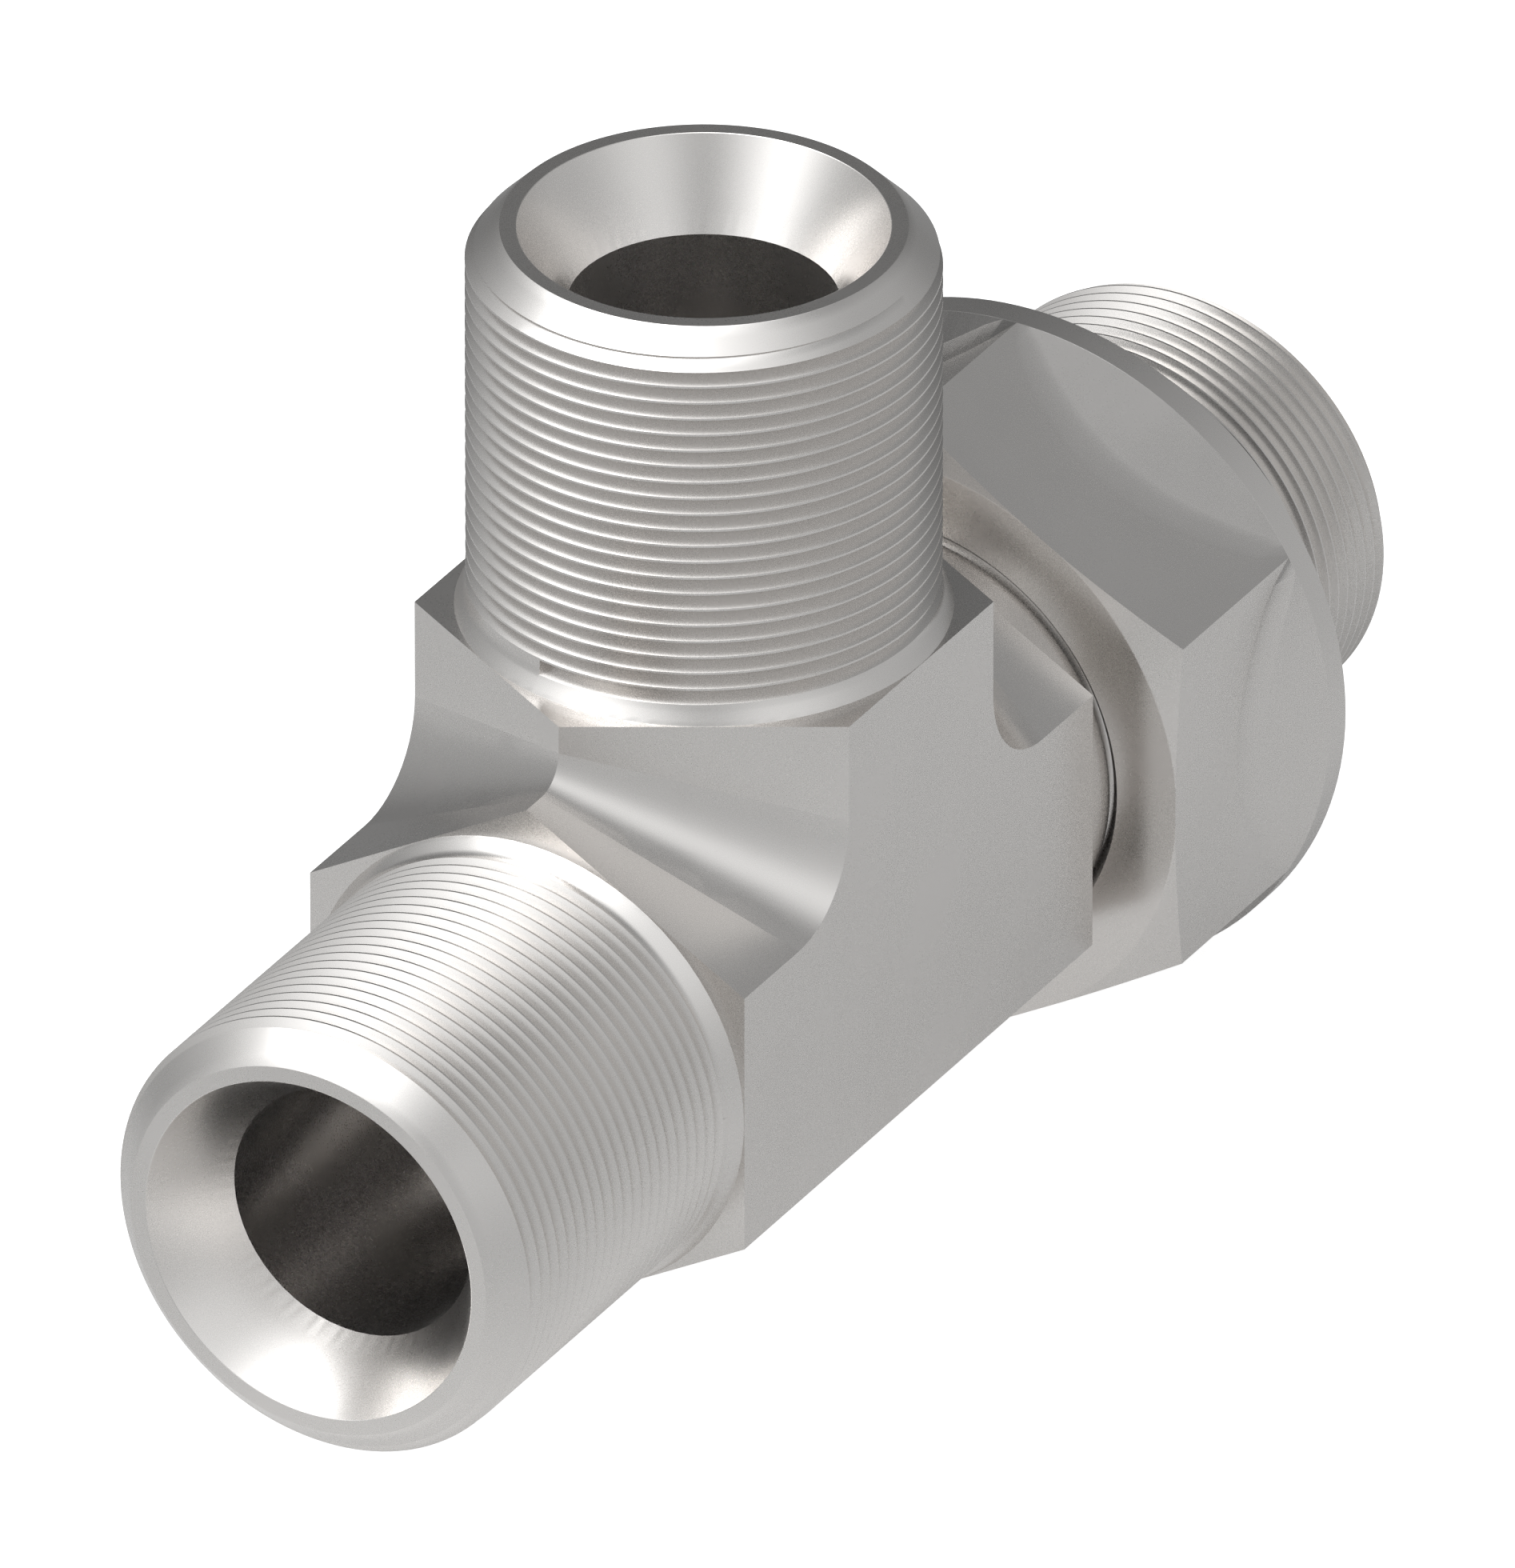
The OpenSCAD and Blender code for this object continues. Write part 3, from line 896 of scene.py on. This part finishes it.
def studio_world():
    """Pale surroundings: white to the camera, and to the part a soft room, the sum of the round
    patches of ROOM and a level, that is white overhead and darker behind it on the left."""
    world = bpy.data.worlds.new("studio")
    bpy.context.scene.world = world
    shading = Shading(world)
    direction = shading.value(shading.node("ShaderNodeTexCoord"), "Generated")

    def lobe(azimuth, elevation, sharpness, strength):
        """Round soft patch: strength times e to the power of sharpness times the cosine of the
        angle from its middle, less sharpness."""
        dot = shading.value(shading.node("ShaderNodeVectorMath", {"operation": "DOT_PRODUCT"},
                                         _0=direction, _1=heading(azimuth, elevation)), "Value")
        return strength * (dot * sharpness - sharpness).exponent()

    light = None
    for azimuth, elevation, sharpness, strength in ROOM:
        patch = lobe(azimuth, elevation, sharpness, strength)
        light = patch if light is None else light + patch
    level = (light + ROOM_LEVEL).at_least(ROOM_LEAST)
    path = shading.node("ShaderNodeLightPath")
    camera = shading.value(path, "Is Camera Ray")
    strength = level * (1.0 - camera) + camera
    tint = shading.node("ShaderNodeMix", {"data_type": "RGBA"}, Factor=camera,
                        _6=(*ROOM_TINT, 1), _7=(1, 1, 1, 1))
    background = shading.node("ShaderNodeBackground", Color=shading.value(tint, 2),
                              Strength=strength)
    shading.node("ShaderNodeOutputWorld", Surface=shading.value(background))


def pale_floor(look):
    """White floor, white to the camera and the metal, that still takes the part's shadow."""
    side = np.linspace(-FLOOR_HALF, FLOOR_HALF, 3)
    surface = Surface()
    x, y = np.meshgrid(side, side)
    points = surface.add(np.stack([x, y, np.full_like(x, -look.floor_drop / MM)], -1))
    surface.sheet(points[:, :-1], points[:, 1:])
    floor = surface.build("floor")
    material = bpy.data.materials.new("pale_floor")
    shading = Shading(material)
    path = shading.node("ShaderNodeLightPath")
    camera, glossy = shading.value(path, "Is Camera Ray"), shading.value(path, "Is Glossy Ray")
    clear = shading.value(path, "Is Transmission Ray")
    matt = shading.node("ShaderNodeBsdfDiffuse", Color=(FLOOR_GREY, FLOOR_GREY, FLOOR_GREY, 1))
    where = shading.value(shading.node("ShaderNodeTexCoord"), "Object")
    split = shading.node("ShaderNodeSeparateXYZ", Vector=where)
    x, y = shading.value(split, 0), shading.value(split, 1)
    out = (x * x + y * y) / (FLOOR_FADE * MM) ** 2
    # Under the part the floor glows a little in the metal, and far off the metal sees past it
    near = (x * x + y * y * GLOW_LENGTH ** -2) / (FLOOR_GLOW * MM) ** 2
    under = 1.0 / (1.0 + near * near)
    far = out * out / (1.0 + out * out)
    glow = camera * CAMERA_GLOW + (glossy + clear) * under * METAL_GLOW
    white = shading.node("ShaderNodeEmission", Color=(1, 1, 1, 1), Strength=glow)
    both = shading.node("ShaderNodeAddShader", _0=shading.value(matt), _1=shading.value(white))
    open_air = shading.node("ShaderNodeBsdfTransparent")
    seen = shading.node("ShaderNodeMixShader", Fac=(glossy + clear).clamp() * far,
                        _1=shading.value(both), _2=shading.value(open_air))
    shading.node("ShaderNodeOutputMaterial", Surface=shading.value(seen))
    floor.data.materials.append(material)


def key_light(look):
    """One large soft light, high on the left of the camera."""
    back = Vector(heading(KEY_AZIMUTH, KEY_ELEVATION))
    lamp = bpy.data.lights.new("key", "AREA")
    lamp.shape = "ELLIPSE"
    lamp.size, lamp.size_y = KEY_WIDTH, KEY_HEIGHT
    area = math.pi / 4 * KEY_WIDTH * KEY_HEIGHT
    lamp.energy = look.key_strength * math.pi * area
    obj = bpy.data.objects.new("key", lamp)
    bpy.context.scene.collection.objects.link(obj)
    obj.rotation_euler = back.to_track_quat("Z", "Y").to_euler()
    obj.location = back * KEY_DISTANCE


def photo_camera(look):
    """Camera at the photograph's angle, so far away that its view is all but parallel."""
    data = bpy.data.cameras.new("camera")
    data.lens = look.lens
    data.sensor_width = SENSOR
    distance = FRAME_WIDTH * look.lens / SENSOR * MM
    data.clip_start, data.clip_end = distance * 0.5, 100
    obj = bpy.data.objects.new("camera", data)
    bpy.context.scene.collection.objects.link(obj)
    target = (VIEW_RIGHT * VIEW_MIDDLE[0] + VIEW_UP * VIEW_MIDDLE[1]) * MM
    spin = Matrix((VIEW_RIGHT, VIEW_UP, VIEW_BACK)).transposed()
    obj.matrix_world = Matrix.Translation(target + VIEW_BACK * distance) @ spin.to_4x4()
    bpy.context.scene.camera = obj


class TEE_OT_stage(bpy.types.Operator):
    """Make the floor, the light and the camera"""
    bl_idname = "tee_adapter.stage"
    bl_label = "Stage"

    def execute(self, context):
        look = context.scene.tee_stage
        context.scene.view_settings.view_transform = "Standard"
        studio_world()
        pale_floor(look)
        key_light(look)
        photo_camera(look)
        return {"FINISHED"}


class TEE_PT_panel(bpy.types.Panel):
    """Lists what the file makes"""
    bl_label = "Tee adapter"
    bl_idname = "TEE_PT_panel"
    bl_space_type = "VIEW_3D"
    bl_region_type = "UI"
    bl_category = "Tee adapter"

    def draw(self, context):
        for group in (context.scene.tee_threads, context.scene.tee_finish, context.scene.tee_stage):
            for name in group.__annotations__:
                self.layout.prop(group, name)
        for operator in OPERATORS:
            self.layout.operator(operator.bl_idname)


OPERATORS = (TEE_OT_body, TEE_OT_nut, TEE_OT_ring, TEE_OT_seal, TEE_OT_stage)
CLASSES = (ThreadSizes, FinishColours, StageLook) + OPERATORS + (TEE_PT_panel,)


def register():
    """Registers the classes, and gives every scene its settings."""
    for cls in CLASSES:
        bpy.utils.register_class(cls)
    bpy.types.Scene.tee_threads = PointerProperty(type=ThreadSizes)
    bpy.types.Scene.tee_finish = PointerProperty(type=FinishColours)
    bpy.types.Scene.tee_stage = PointerProperty(type=StageLook)


def unregister():
    """Takes back what register did."""
    del bpy.types.Scene.tee_stage, bpy.types.Scene.tee_finish, bpy.types.Scene.tee_threads
    for cls in reversed(CLASSES):
        bpy.utils.unregister_class(cls)


def main():
    """Makes the pieces and the stage."""
    register()
    bpy.ops.tee_adapter.body()
    bpy.ops.tee_adapter.nut()
    bpy.ops.tee_adapter.ring()
    bpy.ops.tee_adapter.seal()
    bpy.ops.tee_adapter.stage()


if __name__ == "__main__":
    main()
